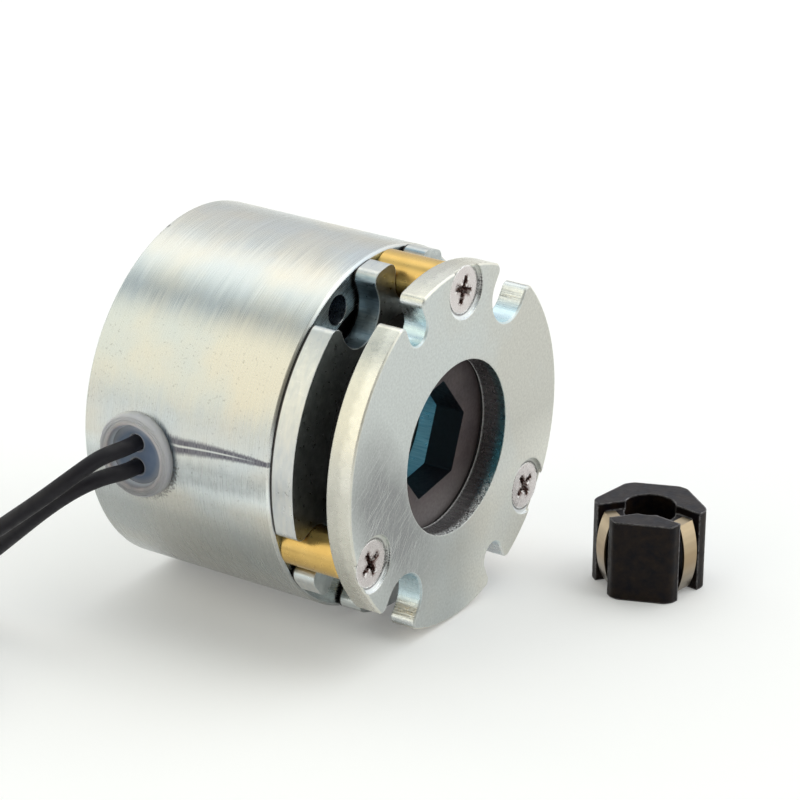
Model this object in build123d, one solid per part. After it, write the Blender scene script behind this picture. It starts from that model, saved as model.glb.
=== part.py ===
from build123d import *
import os
from math import cos, sin, tan, radians, sqrt, pi

# Spring-applied brake for a stepper motor, in millimetres, +Z up.
# The X axis is the brake's own axis, and x = 0 is the outer plate's free face.
# A hexagonal hub stands beside the brake, on the floor under the housing.

# Housing: a turned steel pot with an open ring for the coil
housing_radius = 28.5
housing_length = 34.6
outer_pole_wall = 6.3
outer_pole_inner_radius = housing_radius - outer_pole_wall
coil_room_step = 0.6
coil_room_radius = outer_pole_inner_radius - coil_room_step
coil_room_lip = 1.4
coil_room_width = 5.2
inner_pole_radius = coil_room_radius - coil_room_width
inner_pole_wall = 5.9
housing_bore_radius = inner_pole_radius - inner_pole_wall
back_wall = 7.0
rim_chamfer = 0.4

# Screws that hold the outer plate, and the spacer sleeves round them
screw_edge_distance = 3.7
screw_circle_radius = housing_radius - screw_edge_distance
screw_angles = [85.6, -34.4, -154.4]
screw_radius = 1.95
screw_grip = 8.0
screw_head_radius = 3.75
screw_head_depth = 0.5
screw_seat_gap = 0.05
head_pocket_clearance = 0.8
head_cone_half_angle = 45
recess_length = 4.3
recess_width = 1.0
recess_middle_radius = 1.15
recess_depth = 1.3
recess_taper = 12
recess_angles = [-22, 30, 28]
tapped_hole_clearance = 0.05
tapped_hole_spare = 1.5
sleeve_length = 10.3
sleeve_radius = 3.5
sleeve_chamfer = 0.3
sleeve_clearance = 0.2
sleeve_bore_radius = screw_radius + sleeve_clearance

# Rotor: a core with a hexagonal hole and a friction ring on each face
rotor_sleeve_gap = 1.8
rotor_radius = screw_circle_radius - sleeve_radius - rotor_sleeve_gap
rotor_gap = 0.05
lining_thickness = 0.48
lining_width = 5.6
lining_inner_radius = rotor_radius - lining_width
rotor_hex_flats = 16.0
rotor_hex_angle = 9.0
rotor_hex_corner = 0.5

# Outer plate: its bore shows the rotor inside the friction ring
plate_thickness = 4.2
plate_inset = 0.14
plate_radius = housing_radius - plate_inset
plate_bore_step = 0.2
plate_bore_radius = lining_inner_radius - plate_bore_step
plate_chamfer = 0.25

# Mounting bolts: they pass the housing, and notches clear them further out
bolt_edge_distance = 3.63
bolt_circle_radius = housing_radius - bolt_edge_distance
bolt_hole_radius = 2.35
bolt_angles = [115.6, -64.4]
wide_notch_angles = [55.6, -124.4]
plate_wide_notch_radius = 4.6
notch_lip = 1.2

# Armature plate
air_gap = 0.3
armature_thickness = 3.9
armature_inset = 0.1
armature_radius = housing_radius - armature_inset
armature_bore_step = 0.5
armature_bore_radius = housing_bore_radius + armature_bore_step
armature_notch_radius = 4.95
armature_lip = 1.6
guide_clearance = 0.15

# Coil inside the housing
coil_clearance = 0.15
bobbin_wall = 0.9
bobbin_flange = 1.1
winding_cover = 1.4
winding_radius = coil_room_radius - winding_cover
tape_thickness = 0.3

# Torque springs in blind pockets of the inner pole
spring_angles = [25.6, 145.6, -94.4]
spring_pole_distance = 2.9
spring_circle_radius = inner_pole_radius - spring_pole_distance
spring_outer_radius = 2.1
spring_pocket_clearance = 0.3
spring_pocket_depth = 9.0
spring_wire = 0.7
spring_turns = 4
spring_seat_gap = 0.05

# Cable grommet and the two leads
grommet_x = -38.7
grommet_z = -0.45
grommet_flange_radius = 6.65
grommet_flange_height = 1.2
grommet_flange_rounding = 0.6
grommet_seat_depth = 2.0
grommet_neck_radius = 5.2
grommet_neck_clearance = 0.1
grommet_inner_gap = 0.4
grommet_recess_radius = 4.65
grommet_recess_slope = 0.4
grommet_recess_depth = 1.0
lead_diameter = 2.5
lead_hole_clearance = 0.1
lead_inner_start = 0.2
corner_share = 0.45

# The upper and the lower lead's route, from the grommet to their coil
upper_route = [
    (-38.7, -27.2, 1.5),
    (-38.7, -31.2, 1.5),
    (-40.3, -35.3, 1.2),
    (-42.5, -39.0, -1.1),
    (-46.6, -41.8, -5.0),
    (-52.6, -43.1, -10.0),
    (-59.5, -43.5, -15.6),
    (-66.0, -44.6, -20.8),
    (-71.3, -47.6, -23.7),
    (-74.3, -52.4, -24.35),
    (-75.6, -58.0, -24.35),
]
lower_route = [
    (-38.7, -27.2, -2.4),
    (-38.7, -31.0, -2.4),
    (-40.5, -34.7, -2.4),
    (-43.1, -37.9, -3.8),
    (-47.1, -39.9, -7.1),
    (-52.4, -40.9, -12.1),
    (-58.6, -41.5, -17.9),
    (-65.0, -42.8, -23.1),
    (-70.8, -46.2, -26.3),
    (-74.3, -51.6, -26.85),
    (-75.6, -58.0, -26.85),
]

# Both leads end in one neat flat coil, held by a tie
coil_centre = (-60.5, -70.5)
coil_mean_radius = 13.75
coil_half_width = 4.35
coil_rise = 0.4
coil_edge_chamfer = 0.8
tie_thickness = 0.4
tie_width = 2.5
tie_angle = -40.0
tie_clearance = 0.2
tip_radius = 0.7
tip_length = 6.0
tip_offset = 7.9
tip_angles = [70.0, 30.0]

# Hub: a hexagonal bar with a leaf spring across each of two faces
hub_fit = 0.3
hub_flats = rotor_hex_flats - hub_fit
hub_height = 13.2
hub_bore_radius = 4.0
hub_corner = 1.6
hub_end_rounding = 0.6
hub_centre = (18.1, 27.9)
hub_vertex_angle = 22.0
hub_slot_width = 5.0
hub_slot_depth = 1.5
hub_end_notch = 1.4
leaf_thickness = 0.3
leaf_side_clearance = 0.9
leaf_seat_gap = 0.4
leaf_end_gap = 0.1
leaf_proud = 0.35
leaf_leg = 1.55
set_screw_radius = 1.45
set_screw_clearance = 0.05
set_screw_recess = 0.6
set_screw_tip_gap = 0.1
set_screw_key_flats = 1.5
set_screw_key_depth = 1.2
set_screw_key_corner = 0.1

# How far a cutting shape reaches past a face, and what counts as the same place
past = 1.0
touching = 0.01

# Stations along the axis, from the outer plate back to the housing's rear
plate_back = -plate_thickness
housing_front = plate_back - sleeve_length
housing_back = housing_front - housing_length
armature_back = housing_front + air_gap
armature_front = armature_back + armature_thickness
rotor_front = plate_back - rotor_gap
rotor_back = armature_front + rotor_gap
core_front = rotor_front - lining_thickness
core_back = rotor_back + lining_thickness
coil_room_back = housing_back + back_wall
floor = -housing_radius

# Faces of the hub, from its own axis, and the directions that they look in
hub_face_distance = hub_flats / 2
web_face = hub_face_distance - hub_slot_depth
web_height = hub_height - 2 * hub_end_notch
leaf_face_angles = {"left": hub_vertex_angle - 150, "right": hub_vertex_angle - 30}
set_screw_angle = hub_vertex_angle + 90


# Shapes that several pieces share

def turned(points):
    """A solid of revolution about the X axis from (x, radius) points."""
    return revolve(make_face(Polyline(*points, close=True)), Axis.X)


def round_bar(radius, x_start, x_end, y=0.0, z=0.0):
    """A cylinder along X, from x_start to x_end."""
    return extrude(Plane.YZ.offset(x_start) * Pos(y, z) * Circle(radius), x_end - x_start)


def place(radius, angle):
    """The (y, z) point at this radius and angle round the brake's axis."""
    return (radius * cos(radians(angle)), radius * sin(radians(angle)))


def ring(outer, inner, x_start, x_end):
    """A flat ring along X."""
    return turned([(x_start, inner), (x_end, inner), (x_end, outer), (x_start, outer)])


def u_notch(circle_radius, angle, notch_radius, reach):
    """The outline of a notch that opens outwards, its round floor at the circle."""
    rail = Pos(circle_radius + reach / 2, 0) * Rectangle(reach, 2 * notch_radius)
    return Rot(0, 0, angle) * (rail + Pos(circle_radius, 0) * Circle(notch_radius))


def notched_disc(radius, bore, notches, lip):
    """A disc's outline with U notches in its rim, each (circle, angle, notch radius)."""
    outline = Circle(radius) - Circle(bore)
    for circle_radius, angle, notch_radius in notches:
        outline -= u_notch(circle_radius, angle, notch_radius, radius)
    mouths = [v for v in outline.vertices() if abs(Vector(v.X, v.Y).length - radius) < touching]
    return fillet(mouths, lip)


def hexagon(flats, angle, corner):
    """A hexagon across flats, a vertex at this angle, its corners rounded."""
    outline = RegularPolygon(flats / sqrt(3), 6)
    return Rot(0, 0, angle) * fillet(outline.vertices(), corner)


# Housing and what it holds

def stator_housing():
    room_lip = housing_front - coil_room_lip
    body = turned([
        (housing_back, housing_bore_radius),
        (housing_front, housing_bore_radius),
        (housing_front, inner_pole_radius),
        (coil_room_back, inner_pole_radius),
        (coil_room_back, coil_room_radius),
        (room_lip, coil_room_radius),
        (room_lip, outer_pole_inner_radius),
        (housing_front, outer_pole_inner_radius),
        (housing_front, housing_radius - rim_chamfer),
        (housing_front - rim_chamfer, housing_radius),
        (housing_back + rim_chamfer, housing_radius),
        (housing_back, housing_radius - rim_chamfer),
    ])
    for angle in bolt_angles:
        body -= round_bar(bolt_hole_radius, housing_back - past, housing_front + past,
                          *place(bolt_circle_radius, angle))
    for angle in screw_angles:
        body -= round_bar(screw_radius + tapped_hole_clearance,
                          housing_front - screw_grip - tapped_hole_spare,
                          housing_front + past, *place(screw_circle_radius, angle))
    for angle in spring_angles:
        body -= round_bar(spring_outer_radius + spring_pocket_clearance,
                          housing_front - spring_pocket_depth,
                          housing_front + past, *place(spring_circle_radius, angle))
    return body - grommet_bar(grommet_neck_radius + grommet_neck_clearance,
                              coil_room_radius - past, housing_radius + past)


def coil_bobbin():
    inner = inner_pole_radius + coil_clearance
    outer = coil_room_radius - coil_clearance
    front = housing_front - coil_room_lip
    back = coil_room_back + coil_clearance
    return turned([
        (back, inner),
        (front, inner),
        (front, outer),
        (front - bobbin_flange, outer),
        (front - bobbin_flange, inner + bobbin_wall),
        (back + bobbin_flange, inner + bobbin_wall),
        (back + bobbin_flange, outer),
        (back, outer),
    ])


def winding_ring(inner, outer):
    front = housing_front - coil_room_lip - bobbin_flange
    back = coil_room_back + coil_clearance + bobbin_flange
    return ring(outer, inner, back, front)


def coil_winding():
    return winding_ring(inner_pole_radius + coil_clearance + bobbin_wall, winding_radius)


def coil_tape():
    return winding_ring(winding_radius, winding_radius + tape_thickness)


def torque_spring(angle):
    """A coil spring between its pocket's floor and the armature plate."""
    y, z = place(spring_circle_radius, angle)
    start = housing_front - spring_pocket_depth + spring_seat_gap + spring_wire / 2
    end = armature_back - spring_seat_gap - spring_wire / 2
    radius = spring_outer_radius - spring_wire / 2
    path = Helix((end - start) / spring_turns, end - start, radius)
    section = Plane(path @ 0, z_dir=path % 0) * RegularPolygon(spring_wire / 2, 6)
    wire = sweep(section, path=path, is_frenet=True)
    return Pos(start, y, z) * Rot(0, 90, 0) * wire


# Plate, sleeves and screws

def spacer_sleeve(angle):
    y, z = place(screw_circle_radius, angle)
    tube = round_bar(sleeve_radius, housing_front, plate_back, y, z)
    tube = chamfer(tube.edges().filter_by(GeomType.CIRCLE), sleeve_chamfer)
    return tube - round_bar(sleeve_bore_radius, housing_front - past, plate_back + past, y, z)


def head_cone(radius, depth_start, y, z):
    """The countersunk part of a screw or of its seat, wide end at depth_start."""
    height = (radius - sleeve_bore_radius) / tan(radians(head_cone_half_angle))
    cone = Cone(sleeve_bore_radius, radius, height)
    return Pos(-depth_start - height / 2, y, z) * Rot(0, 90, 0) * cone


def outer_plate():
    notches = [(bolt_circle_radius, angle, bolt_hole_radius) for angle in bolt_angles]
    notches += [(bolt_circle_radius, angle, plate_wide_notch_radius) for angle in wide_notch_angles]
    outline = notched_disc(plate_radius, plate_bore_radius, notches, notch_lip)
    plate = extrude(Plane.YZ.offset(plate_back) * outline, plate_thickness)
    for face in (plate.faces().sort_by(Axis.X)[0], plate.faces().sort_by(Axis.X)[-1]):
        plate = chamfer(face.outer_wire().edges(), plate_chamfer)
    for angle in screw_angles:
        y, z = place(screw_circle_radius, angle)
        plate -= round_bar(screw_head_radius + head_pocket_clearance, -screw_head_depth, past, y, z)
        plate -= head_cone(screw_head_radius + screw_seat_gap, screw_head_depth, y, z)
        plate -= round_bar(sleeve_bore_radius, plate_back - past, past, y, z)
    return plate


def cross_recess(y, z, turn):
    """The tapered cross in a screw's head, turned as the screw was left."""
    cross = Rectangle(recess_length, recess_width) + Rectangle(recess_width, recess_length)
    cross += RegularPolygon(recess_middle_radius, 4)
    front = Plane((-screw_head_depth, y, z), x_dir=(0, 1, 0), z_dir=(-1, 0, 0))
    return extrude(front * Rot(0, 0, -turn) * cross, recess_depth, taper=recess_taper)


def plate_screws():
    screws = []
    for angle, turn in zip(screw_angles, recess_angles):
        y, z = place(screw_circle_radius, angle)
        shank = round_bar(screw_radius, housing_front - screw_grip, -screw_head_depth, y, z)
        head = head_cone(screw_head_radius, screw_head_depth, y, z)
        screws.append(shank + head - cross_recess(y, z, turn))
    return Compound(children=screws)


# Armature and rotor

def armature_plate():
    notches = [(bolt_circle_radius, angle, armature_notch_radius)
               for angle in bolt_angles + wide_notch_angles]
    notches += [(screw_circle_radius, angle, sleeve_radius + guide_clearance)
                for angle in screw_angles]
    outline = notched_disc(armature_radius, armature_bore_radius, notches, armature_lip)
    return extrude(Plane.YZ.offset(armature_back) * outline, armature_thickness)


def rotor_core():
    outline = Circle(rotor_radius) - hexagon(rotor_hex_flats, rotor_hex_angle, rotor_hex_corner)
    return extrude(Plane.YZ.offset(core_back) * outline, core_front - core_back)


def friction_lining(x_start, x_end):
    return ring(rotor_radius, lining_inner_radius, x_start, x_end)


# Grommet and leads

def grommet_bar(radius, start, end, z=None):
    """A cylinder along -Y through the side of the housing, at the grommet."""
    base = Plane((grommet_x, -start, grommet_z if z is None else z), z_dir=(0, -1, 0))
    return extrude(base * Circle(radius), end - start)


def cable_grommet():
    face = housing_radius + grommet_flange_height
    flange = grommet_bar(grommet_flange_radius, housing_radius - grommet_seat_depth, face)
    rim = flange.edges().sort_by(Axis.Y)[0]
    flange = fillet(rim, grommet_flange_rounding)
    flange -= round_bar(housing_radius, housing_back, housing_front)
    neck = grommet_bar(grommet_neck_radius, coil_room_radius + grommet_inner_gap, housing_radius)
    body = flange + neck
    recess = Cone(grommet_recess_radius, grommet_recess_radius + grommet_recess_slope,
                  grommet_recess_depth)
    middle = Plane((grommet_x, grommet_recess_depth / 2 - face, grommet_z), z_dir=(0, -1, 0))
    body -= middle * recess
    for route in (upper_route, lower_route):
        body -= grommet_bar(lead_diameter / 2 + lead_hole_clearance,
                            coil_room_radius - past, face + past, route[0][2])
    return body


def corner_radii(route):
    """The radius at each inner point whose arc takes this share of the shorter run."""
    points = [Vector(p) for p in route]
    radii = []
    for before, here, after in zip(points, points[1:], points[2:]):
        run_in = here - before
        run_out = after - here
        turn = run_in.get_angle(run_out)
        shorter = min(run_in.length, run_out.length)
        radii.append(corner_share * shorter / tan(radians(turn / 2)))
    return radii


def lead_tube(name, route):
    radii = corner_radii(route)
    print(name, "radii", [round(r, 1) for r in radii])
    path = FilletPolyline(*route, radius=radii)
    start = Vector(route[0])
    section = Plane(start, z_dir=Vector(route[1]) - start) * Circle(lead_diameter / 2)
    tube = sweep(section, path=path)
    ratio = tube.volume / (pi * (lead_diameter / 2) ** 2 * path.length)
    print(name, "length", round(path.length, 1), "volume over section times length", round(ratio, 4))
    inner_start = winding_radius + tape_thickness + lead_inner_start
    inner = Plane((start.X, -inner_start, start.Z), z_dir=(0, -1, 0))
    return extrude(inner * Circle(lead_diameter / 2), -start.Y - inner_start) + tube


def lead_coil():
    """The outer shape of both leads' turns, one layer each."""
    height = 2 * lead_diameter
    outer = Cylinder(coil_mean_radius + coil_half_width, height)
    inner = Cylinder(coil_mean_radius - coil_half_width, height)
    body = chamfer(outer.edges().filter_by(GeomType.CIRCLE), coil_edge_chamfer) - inner
    return Pos(*coil_centre, floor + coil_rise + height / 2) * body


def lead_tie():
    """A flat band round the coil's turns."""
    width = 2 * (coil_half_width + tie_clearance)
    height = 2 * lead_diameter + coil_rise - tie_thickness
    hole = Rectangle(width, height)
    band = Rectangle(width + 2 * tie_thickness, height + 2 * tie_thickness) - hole
    loop = extrude(Plane.XZ * band, tie_width / 2, both=True)
    middle = floor + height / 2 + tie_thickness
    return Pos(*coil_centre, middle) * Rot(0, 0, tie_angle) * Pos(coil_mean_radius, 0, 0) * loop


def lead_tips():
    """The bare tinned ends, one inside the coil for each lead."""
    tips = []
    for layer, angle in enumerate(tip_angles):
        height = floor + coil_rise + (layer + 0.5) * lead_diameter
        tip = Rot(90, 0, 0) * Cylinder(tip_radius, tip_length)
        tips.append(Pos(*coil_centre, height) * Rot(0, 0, angle) * Pos(tip_offset, 0, 0) * tip)
    return Compound(children=tips)


# Hub, standing on its end beside the brake

standing = (Align.CENTER, Align.CENTER, Align.MIN)


def on_hub(angle):
    """The hub's frame turned so that +X looks out of the face at this angle."""
    return Pos(*hub_centre, floor) * Rot(0, 0, angle)


def hub_body():
    prism = extrude(hexagon(hub_flats, hub_vertex_angle, hub_corner), hub_height)
    turned_bar = Cylinder(hub_flats / sqrt(3), hub_height, align=standing)
    turned_bar = fillet(turned_bar.edges().filter_by(GeomType.CIRCLE), hub_end_rounding)
    body = Pos(*hub_centre, floor) * (prism & turned_bar)
    bore = Cylinder(hub_bore_radius, hub_height + 2 * past)
    body -= Pos(*hub_centre, floor + hub_height / 2) * bore
    for angle in leaf_face_angles.values():
        body -= on_hub(angle) * leaf_channel()
    hole = Rot(0, 90, 0) * Cylinder(set_screw_radius + set_screw_clearance, hub_face_distance)
    body -= on_hub(set_screw_angle) * Pos(hub_face_distance, 0, hub_height / 2) * hole
    return body


def leaf_channel():
    """What is cut for one leaf spring: the channel and a notch at each end."""
    outwards = (Align.MIN, Align.CENTER, Align.MIN)
    channel = Pos(web_face, 0, 0) * Box(hub_face_distance, hub_slot_width, hub_height, align=outwards)
    notch = Box(hub_face_distance, hub_slot_width, hub_end_notch, align=outwards)
    return channel + notch + Pos(0, 0, hub_height - hub_end_notch) * notch


def leaf_spring(angle):
    """A strip bowed outwards, its ends bent in over the ends of the web."""
    corner_x = web_face + leaf_seat_gap
    half = web_height / 2 + leaf_end_gap
    bow_x = hub_face_distance + leaf_proud - leaf_thickness
    outer_half = half + leaf_thickness
    inner_end = corner_x - leaf_leg
    inside = ThreePointArc((corner_x, -half), (bow_x, 0), (corner_x, half))
    outside = ThreePointArc((corner_x + leaf_thickness, outer_half),
                            (bow_x + leaf_thickness, 0),
                            (corner_x + leaf_thickness, -outer_half))
    top = Polyline((corner_x, half), (inner_end, half), (inner_end, outer_half),
                   (corner_x + leaf_thickness, outer_half))
    bottom = Polyline((corner_x + leaf_thickness, -outer_half), (inner_end, -outer_half),
                      (inner_end, -half), (corner_x, -half))
    outline = make_face(inside + top + outside + bottom)
    width = hub_slot_width - 2 * leaf_side_clearance
    strip = extrude(Plane.XZ * outline, width / 2, both=True)
    return on_hub(angle) * Pos(0, 0, hub_height / 2) * strip


def hub_set_screw():
    """A headless screw that clamps the shaft, flush inside the bore's wall."""
    length = hub_face_distance - set_screw_recess - hub_bore_radius - set_screw_tip_gap
    plug = Cylinder(set_screw_radius, length, align=standing)
    key = extrude(hexagon(set_screw_key_flats, 0, set_screw_key_corner), set_screw_key_depth)
    plug -= Pos(0, 0, length - set_screw_key_depth) * key
    start = Pos(hub_bore_radius + set_screw_tip_gap, 0, hub_height / 2)
    return on_hub(set_screw_angle) * start * Rot(0, 90, 0) * plug


# Every piece, in its own file

def write(name, shape):
    export_step(shape, "parts/" + name + ".step")


os.makedirs("parts", exist_ok=True)
write("stator_housing", stator_housing())
write("coil_bobbin", coil_bobbin())
write("coil_winding", coil_winding())
write("coil_tape", coil_tape())
for number, spring_angle in enumerate(spring_angles, 1):
    write("torque_spring_" + str(number), torque_spring(spring_angle))
for number, screw_angle in enumerate(screw_angles, 1):
    write("spacer_sleeve_" + str(number), spacer_sleeve(screw_angle))
write("outer_plate", outer_plate())
write("plate_screws", plate_screws())
write("armature_plate", armature_plate())
write("rotor_core", rotor_core())
write("front_lining", friction_lining(core_front, rotor_front))
write("rear_lining", friction_lining(rotor_back, core_back))
write("cable_grommet", cable_grommet())
write("lead_upper", lead_tube("lead_upper", upper_route))
write("lead_lower", lead_tube("lead_lower", lower_route))
write("lead_coil", lead_coil())
write("lead_tie", lead_tie())
write("lead_tips", lead_tips())
write("hub_body", hub_body())
for side, face_angle in leaf_face_angles.items():
    write("leaf_spring_" + side, leaf_spring(face_angle))
write("hub_set_screw", hub_set_screw())
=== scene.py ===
from math import cos, pi, radians, sin

import bpy
from mathutils import Matrix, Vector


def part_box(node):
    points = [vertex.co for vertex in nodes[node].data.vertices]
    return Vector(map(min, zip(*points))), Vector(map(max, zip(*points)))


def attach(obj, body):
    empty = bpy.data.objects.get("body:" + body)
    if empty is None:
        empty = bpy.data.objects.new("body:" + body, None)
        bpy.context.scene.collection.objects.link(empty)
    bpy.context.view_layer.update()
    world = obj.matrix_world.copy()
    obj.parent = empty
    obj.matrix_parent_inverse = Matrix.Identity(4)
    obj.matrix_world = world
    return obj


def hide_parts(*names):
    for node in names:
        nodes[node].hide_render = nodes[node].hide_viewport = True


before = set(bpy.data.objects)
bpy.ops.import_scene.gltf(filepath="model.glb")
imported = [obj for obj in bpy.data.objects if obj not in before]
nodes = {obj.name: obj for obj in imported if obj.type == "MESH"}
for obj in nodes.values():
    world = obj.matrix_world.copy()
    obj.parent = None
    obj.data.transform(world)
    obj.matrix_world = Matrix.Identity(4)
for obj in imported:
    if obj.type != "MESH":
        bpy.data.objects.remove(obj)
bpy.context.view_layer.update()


# The camera of the photograph: a long lens, a little above the brake and to
# its right, leaning by a third of a degree.
camera_azimuth = radians(33.72)
camera_elevation = radians(22.86)
camera_lean = radians(0.36)
camera_place = (0.2415, -0.3775, 0.1966)
camera_lens = 146.0
camera_film_width = 36
camera_data = bpy.data.cameras.new("camera")
camera_data.sensor_width = camera_film_width
camera_data.lens = camera_lens
camera = bpy.data.objects.new("camera", camera_data)
bpy.context.scene.collection.objects.link(camera)
camera.matrix_world = (
    Matrix.Translation(camera_place)
    @ Matrix.Rotation(camera_azimuth, 4, "Z")
    @ Matrix.Rotation(pi / 2 - camera_elevation, 4, "X")
    @ Matrix.Rotation(camera_lean, 4, "Z")
)
bpy.context.scene.camera = camera
bpy.context.scene.view_settings.view_transform = "Standard"


# The two leads: stranded copper in matt black insulation, one above the other.
# They leave the grommet, fall to the floor and lie there in one flat coil, the
# upper lead's turns on the lower lead's. Their ends are stripped and tinned.
lead_diameter = 0.0025
upper_route = [
    (-0.0387, -0.0272, 0.0015),
    (-0.0387, -0.0312, 0.0015),
    (-0.0403, -0.0353, 0.0012),
    (-0.0425, -0.0390, -0.0011),
    (-0.0466, -0.0418, -0.0050),
    (-0.0526, -0.0431, -0.0100),
    (-0.0595, -0.0435, -0.0156),
    (-0.0660, -0.0446, -0.0208),
    (-0.0713, -0.0476, -0.0237),
    (-0.0743, -0.0524, -0.02435),
    (-0.0756, -0.0580, -0.02435),
]
lower_route = [
    (-0.0387, -0.0272, -0.0024),
    (-0.0387, -0.0310, -0.0024),
    (-0.0405, -0.0347, -0.0024),
    (-0.0431, -0.0379, -0.0038),
    (-0.0471, -0.0399, -0.0071),
    (-0.0524, -0.0409, -0.0121),
    (-0.0586, -0.0415, -0.0179),
    (-0.0650, -0.0428, -0.0231),
    (-0.0708, -0.0462, -0.0263),
    (-0.0743, -0.0516, -0.02685),
    (-0.0756, -0.0580, -0.02685),
]
coil_centre = (-0.0605, -0.0705)
coil_outer_radius = 0.0168
coil_inner_radius = 0.01055
coil_start_angle = 168.5
coil_turn = 900
coil_steps_per_turn = 16
end_radius = 0.00845
end_sweep = 60.7
tip_angles = {"lower": 70, "upper": 30}
insulation_dark = (0.004, 0.004, 0.008)
insulation_light = (0.012, 0.010, 0.015)


def coil_point(radius, angle, height):
    """A spline point that makes the curve pass at this radius from the coil's centre."""
    reach = radius / cos(pi / coil_steps_per_turn)
    return (coil_centre[0] + reach * cos(radians(angle)),
            coil_centre[1] + reach * sin(radians(angle)), height)


def coil_turns(height, tip_angle):
    """The coil's turns, winding inwards, and the last stretch towards the tinned tip."""
    short_of_full = tip_angles["lower"] - tip_angle
    turned = coil_turn - short_of_full
    steps = round(turned / 360 * coil_steps_per_turn)
    points = []
    for step in range(steps + 1):
        share = step / steps
        radius = coil_outer_radius + (coil_inner_radius - coil_outer_radius) * share
        points.append(coil_point(radius, coil_start_angle + turned * share, height))
    for share in (1 / 3, 2 / 3, 1):
        radius = coil_inner_radius + (end_radius - coil_inner_radius) * share ** 2
        points.append(coil_point(radius, coil_start_angle + turned + end_sweep * share, height))
    return points


def smooth_line(name, points, radius):
    """A round bar along one smooth curve with these control points."""
    curve = bpy.data.curves.new(name, "CURVE")
    curve.dimensions = "3D"
    curve.bevel_depth = radius
    curve.bevel_resolution = 6
    curve.resolution_u = 8
    curve.use_fill_caps = True
    spline = curve.splines.new("NURBS")
    spline.points.add(len(points) - 1)
    for point, place in zip(spline.points, points):
        point.co = (*place, 1)
    spline.order_u = 3
    spline.use_endpoint_u = True
    made = bpy.data.objects.new(name, curve)
    bpy.context.scene.collection.objects.link(made)
    return made


def finish(name, colour, roughness, metallic=0.0):
    """A new material, with its plain values set on its shader."""
    material = bpy.data.materials.new(name)
    material.use_nodes = True
    shader = material.node_tree.nodes["Principled BSDF"]
    shader.inputs["Base Color"].default_value = (*colour, 1)
    shader.inputs["Roughness"].default_value = roughness
    shader.inputs["Metallic"].default_value = metallic
    return material


def preset(material, **values):
    """Sets more plain values on the shader, named with underscores for spaces."""
    shader = material.node_tree.nodes["Principled BSDF"]
    for name, value in values.items():
        shader.inputs[name.replace("_", " ")].default_value = value


def shade(material, **sockets):
    """Links outputs to the shader's sockets, named with underscores for spaces."""
    tree = material.node_tree
    for name, value in sockets.items():
        tree.links.new(value, tree.nodes["Principled BSDF"].inputs[name.replace("_", " ")])


def add(material, kind, inputs, **settings):
    """One more node. An input that is another node's output is linked, any other is set."""
    tree = material.node_tree
    made = tree.nodes.new(kind)
    for name, value in settings.items():
        setattr(made, name, value)
    for name, value in inputs.items():
        if isinstance(value, bpy.types.NodeSocket):
            tree.links.new(value, made.inputs[name])
        else:
            made.inputs[name].default_value = value
    return made


def place_in(material):
    """The place on the piece, in metres."""
    return add(material, "ShaderNodeTexCoord", {}).outputs["Object"]


def grain(material, size, detail=2.0, at=None, roughness=0.5):
    """Soft noise from 0 to 1 with lumps of this size in metres."""
    where = place_in(material) if at is None else at
    made = add(material, "ShaderNodeTexNoise",
               {"Vector": where, "Scale": 1 / size, "Detail": detail, "Roughness": roughness})
    return made.outputs["Fac"]


def levels(material, value, low, high, to_low=0.0, to_high=1.0):
    """The value between low and high stretched to new ends, and held there outside them."""
    made = add(material, "ShaderNodeMapRange",
               {"Value": value, "From Min": low, "From Max": high,
                "To Min": to_low, "To Max": to_high}, clamp=True)
    return made.outputs["Result"]


def uneven(material, size, detail, to_low=0.0, to_high=1.0, ends=(0.3, 0.7)):
    """Noise with lumps of this size in metres, stretched so that it reaches both values."""
    return levels(material, grain(material, size, detail), *ends, to_low, to_high)


def blend_of(material, share, colour_a, colour_b):
    """Colour a where the share is 0 and colour b where it is 1."""
    colours = [c if isinstance(c, bpy.types.NodeSocket) else (*c, 1) for c in (colour_a, colour_b)]
    made = add(material, "ShaderNodeMix", {0: share, 6: colours[0], 7: colours[1]},
               data_type="RGBA")
    return made.outputs[2]


def relief(material, height, depth, normal=None):
    """A normal for the shader from a height that runs from 0 to 1 over this depth in metres."""
    inputs = {"Height": height, "Distance": depth}
    if normal is not None:
        inputs["Normal"] = normal
    return add(material, "ShaderNodeBump", inputs).outputs["Normal"]


insulation = finish("lead_insulation", (0.010, 0.009, 0.012), 0.5)
preset(insulation, Specular_IOR_Level=0.3)
dusting = grain(insulation, 0.004, 4)
shade(insulation,
      Base_Color=blend_of(insulation, dusting, insulation_dark, insulation_light),
      Roughness=uneven(insulation, 0.0012, 3, 0.42, 0.62),
      Normal=relief(insulation, grain(insulation, 0.0003, 2), 0.000012))

for side, route, stood_for in (
        ("upper", upper_route, ["lead_upper"]),
        ("lower", lower_route, ["lead_lower", "lead_coil"])):
    floor_level = route[-1][2]
    jacket = smooth_line("jacket_" + side, route + coil_turns(floor_level, tip_angles[side]),
                         lead_diameter / 2)
    jacket.data.materials.append(insulation)
    # the coil is put away outside the photograph, so the housing doesn't mirror it either
    jacket.visible_glossy = False
    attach(jacket, "stator")
    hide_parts(*stood_for)


# The room: a plain pale floor that the brake, the hub and the coil lie on, and
# a soft white studio round them. Its lights are long and lie in line with the
# brake: a bright one overhead, a cooler one behind it and a warm one at the left.
floor_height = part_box("stator_housing")[0].z
floor_reach = 6.0
floor_colour = (0.84, 0.84, 0.84)
floor_lift = 0.15


def sum_of(material, operation, first, second=0.0):
    """One step of arithmetic."""
    made = add(material, "ShaderNodeMath", {0: first, 1: second}, operation=operation)
    return made.outputs["Value"]


def any_of(material, first, *others):
    """The largest of some shares: 1 where any of them is."""
    for share in others:
        first = sum_of(material, "MAXIMUM", first, share)
    return first


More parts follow.
